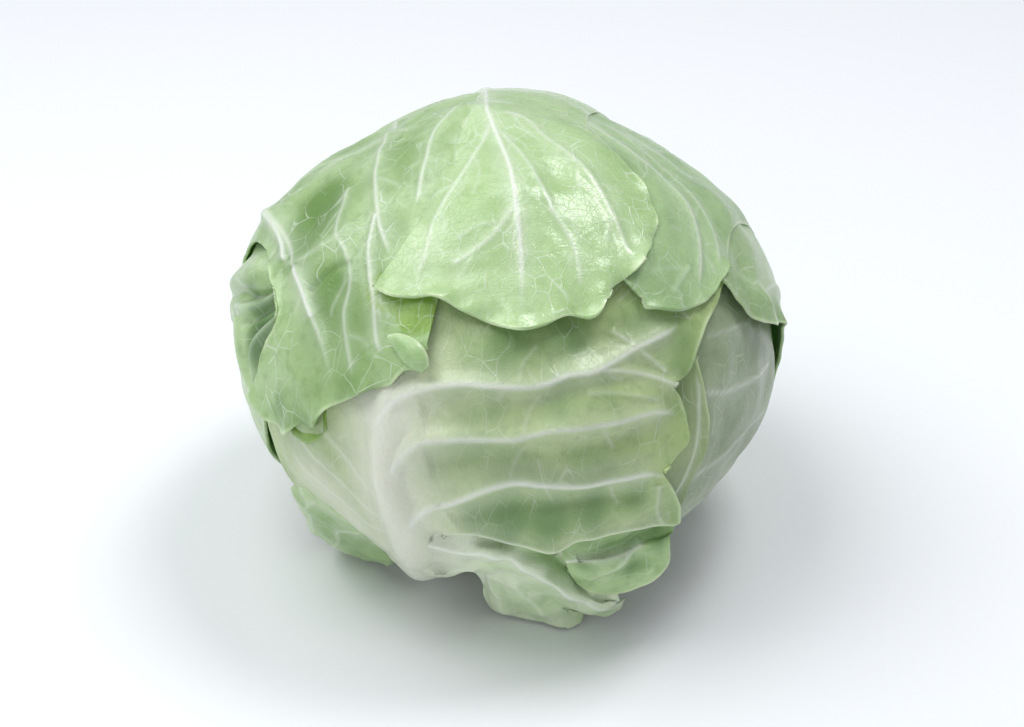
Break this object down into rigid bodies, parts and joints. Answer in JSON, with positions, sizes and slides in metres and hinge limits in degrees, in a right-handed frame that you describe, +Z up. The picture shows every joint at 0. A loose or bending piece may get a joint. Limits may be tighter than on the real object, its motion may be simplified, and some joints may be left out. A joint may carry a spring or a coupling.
{
  "type": "white cabbage",
  "caption": "White cabbage standing on its cut stem: a packed round head in overlapping pale green wrapper leaves, with a thick white midrib and crumpled edges at the front.",
  "frame": {"origin": "centre of the stem's flat cut face, which the cabbage stands on", "axes": "+Z up through the head to its top, -Y towards the front, where the broad white midrib is, +X to the cabbage's right as seen from the front"},
  "size_m": [0.1983, 0.2038, 0.1729],
  "materials": {
    "cut_stem": "damp, fibrous cut face, pale cream going brown at the rim",
    "packed_head_leaves": "pale green, smooth, waxy",
    "right_side_blade": "waxy satin leaf, net of fine veins, whiter raised main veins",
    "inner_front_blade": "waxy satin leaf, net of fine veins, whiter raised main veins",
    "lower_left_blade": "waxy satin leaf, net of fine veins, whiter raised main veins",
    "front_wrapper_blade": "waxy satin leaf, net of fine veins, whiter raised main veins",
    "left_side_blade": "waxy satin leaf, net of fine veins, whiter raised main veins",
    "back_blade": "waxy satin leaf, net of fine veins, whiter raised main veins",
    "right_back_blade": "waxy satin leaf, net of fine veins, whiter raised main veins",
    "right_wrapper_blade": "waxy satin leaf, net of fine veins, whiter raised main veins",
    "left_wrapper_blade": "waxy satin leaf, net of fine veins, whiter raised main veins",
    "crown_blade": "waxy satin leaf, net of fine veins, whiter raised main veins"
  },
  "bodies": {
    "root": {"stem": "cut_stem", "packed_head": "packed_head_leaves", "right_side_leaf": "right_side_blade", "inner_front_leaf": "inner_front_blade", "lower_left_leaf": "lower_left_blade", "front_wrapper_leaf": "front_wrapper_blade", "left_side_leaf": "left_side_blade", "back_leaf": "back_blade", "right_back_leaf": "right_back_blade", "right_wrapper_leaf": "right_wrapper_blade", "left_wrapper_leaf": "left_wrapper_blade", "crown_leaf": "crown_blade"}
  },
  "joints": []
}
